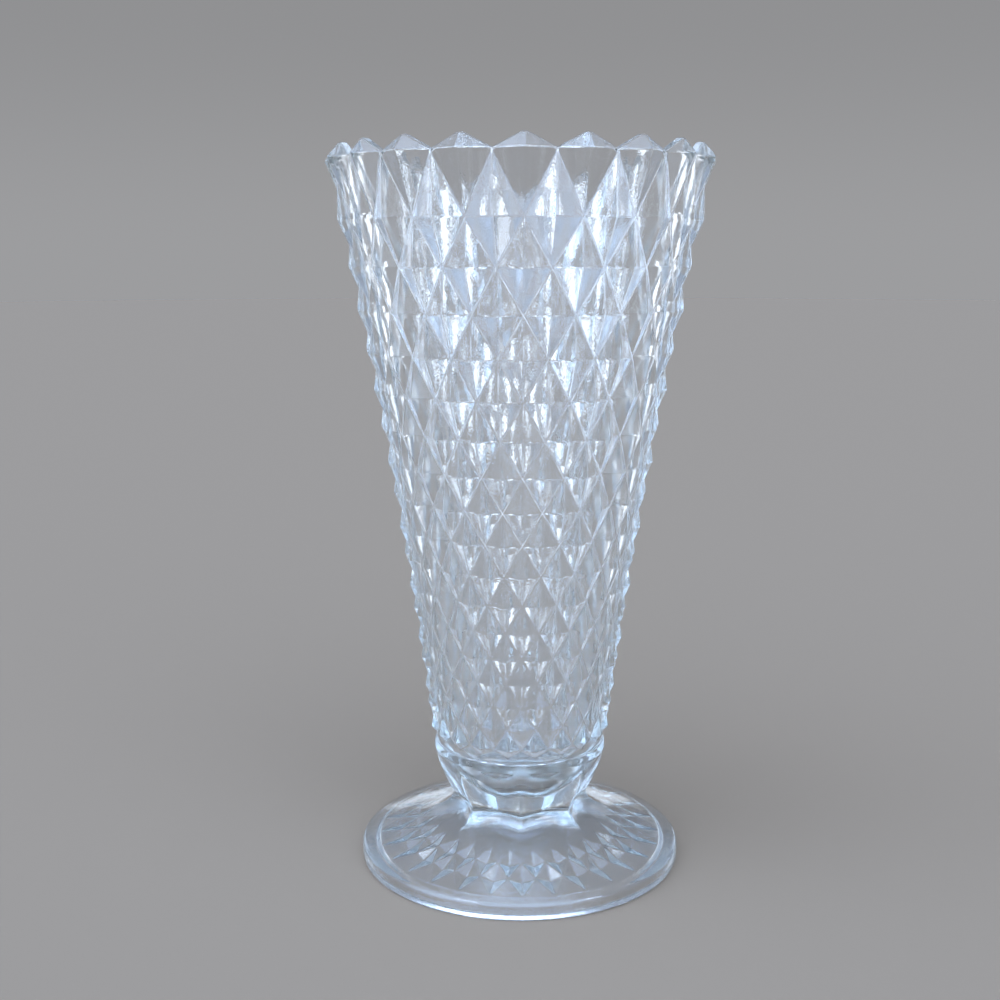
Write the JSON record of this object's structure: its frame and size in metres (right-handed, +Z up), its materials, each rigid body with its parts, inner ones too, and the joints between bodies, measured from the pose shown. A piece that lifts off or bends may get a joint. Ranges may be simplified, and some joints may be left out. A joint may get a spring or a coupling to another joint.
{
  "type": "footed glass vase",
  "caption": "Tall flared vase of clear pressed glass with a toothed rim, diamond-point sides, a panelled knop and a round foot.",
  "frame": {"origin": "on the vase's axis, in the plane that the foot stands on", "axes": "+Z up along the axis, -Y towards the front, where a tooth of the rim and a corner of the knop line up"},
  "size_m": [0.1316, 0.1316, 0.25],
  "materials": {
    "pressed_glass": "clear soda-lime glass, pressed and fire polished"
  },
  "bodies": {
    "root": {"bowl": "pressed_glass", "knop": "pressed_glass", "foot": "pressed_glass"}
  },
  "joints": []
}
